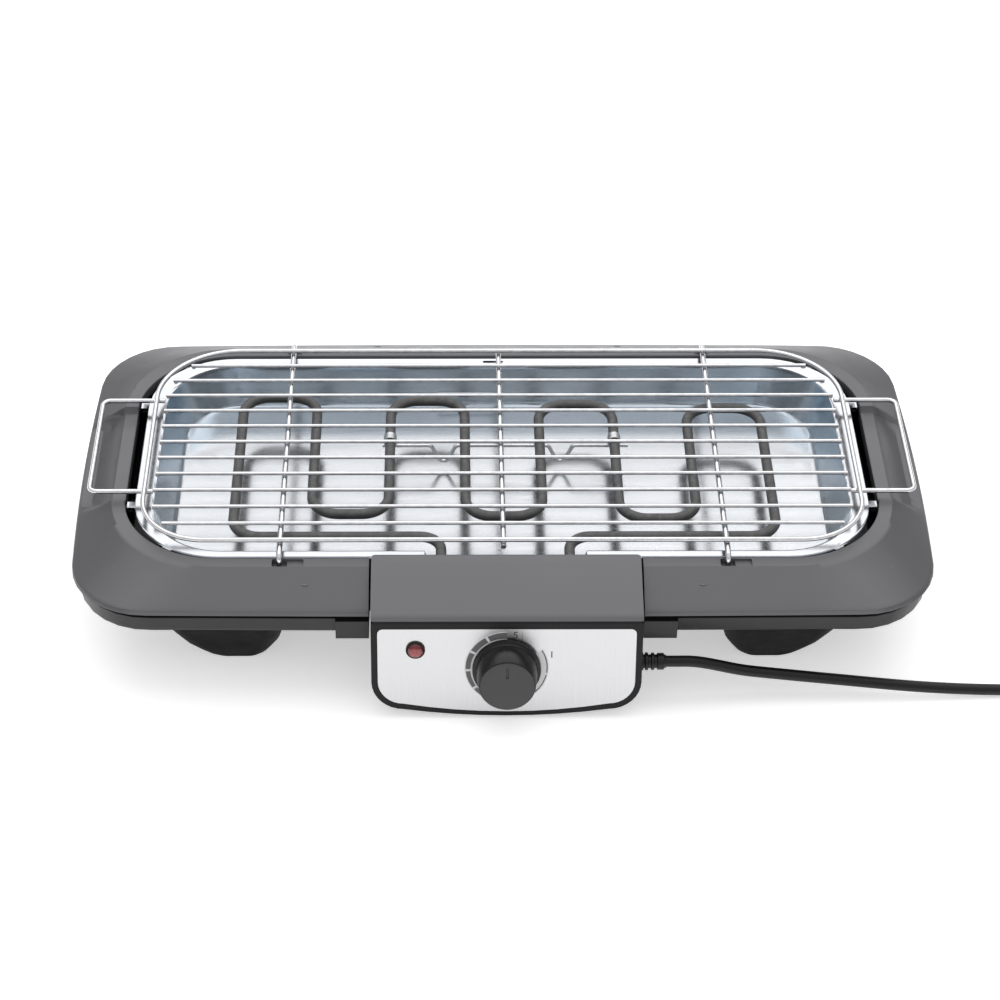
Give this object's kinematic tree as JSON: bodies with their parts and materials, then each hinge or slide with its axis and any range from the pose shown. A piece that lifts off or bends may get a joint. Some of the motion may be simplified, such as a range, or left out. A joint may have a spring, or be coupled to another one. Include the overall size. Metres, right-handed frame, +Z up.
{
  "type": "electric table-top barbecue",
  "caption": "Open electric table-top barbecue: rimmed tub on feet, lift-out drip tray, looped heating element with a control box, and a lift-off wire grid with side handles.",
  "frame": {"origin": "on the table, under the middle of the barbecue's own width and depth (knob to rear rim), without the cord", "axes": "+X to the right along the long side, +Y to the rear, +Z up; the knob is on the -Y side"},
  "size_m": [0.7033, 0.3182, 0.0895],
  "materials": {
    "grey_plastic": "satin",
    "black_plastic": "matt",
    "rubber_pads": "matt",
    "screw_steel": "zinc plated",
    "tray_steel": "bright tin plate",
    "element_sheath": "oxidised dull grey",
    "grid_chrome": "polished",
    "panel_steel": "brushed across",
    "red_lens": "clear gloss",
    "clear_glass": "clear",
    "knob_plastic": "gloss",
    "ceramic": "matt",
    "wire_insulation": "satin",
    "cord_rubber": "satin",
    "pin_brass": "plain"
  },
  "bodies": {
    "base": {"rim_cover": "grey_plastic", "base_tub": "black_plastic", "foot_front_left": "black_plastic", "foot_front_right": "black_plastic", "foot_rear_left": "black_plastic", "foot_rear_right": "black_plastic", "foot_pads": "rubber_pads", "foot_screws": "screw_steel", "rim_screws": "screw_steel"},
    "tray": {"drip_tray": "tray_steel"},
    "control_unit": {"heating_element": "element_sheath", "element_support_wire": "grid_chrome", "support_clips": "screw_steel", "element_bracket": "screw_steel", "element_pins": "screw_steel", "control_cover": "grey_plastic", "control_body": "black_plastic", "control_back": "black_plastic", "housing_screws": "screw_steel", "panel_plate": "panel_steel", "lamp_ring": "knob_plastic", "lamp_lens": "red_lens", "neon_lamp": "clear_glass", "thermostat": "ceramic", "thermostat_screws": "screw_steel", "terminal_block": "ceramic", "inner_wires": "wire_insulation", "cord_clamp": "black_plastic", "sheath_end": "cord_rubber", "strain_relief": "cord_rubber", "power_cord": "cord_rubber", "cord_coil": "cord_rubber", "cord_tail": "cord_rubber", "plug_body": "cord_rubber", "plug_pins": "pin_brass"},
    "dial": {"knob": "knob_plastic", "thermostat_shaft": "screw_steel"},
    "grid": {"grid_ring": "grid_chrome", "grid_bars": "grid_chrome", "cross_wires": "grid_chrome", "handle_left": "grid_chrome", "handle_right": "grid_chrome"}
  },
  "joints": [
    {"name": "tray_lift", "type": "slide", "parent": "base", "child": "tray", "axis": [0, 0, 1], "range_m": [0, 0.08]},
    {"name": "unit_lift", "type": "slide", "parent": "tray", "child": "control_unit", "axis": [0, 0, 1], "range_m": [0, 0.08]},
    {"name": "grid_lift", "type": "slide", "parent": "control_unit", "child": "grid", "axis": [0, 0, 1], "range_m": [0, 0.08]},
    {"name": "knob_turn", "type": "hinge", "parent": "control_unit", "child": "dial", "pos_m": [0.0015, -0.13574, 0.03523], "axis": [0, -0.986, 0.1668], "range_deg": [0, 300]}
  ]
}
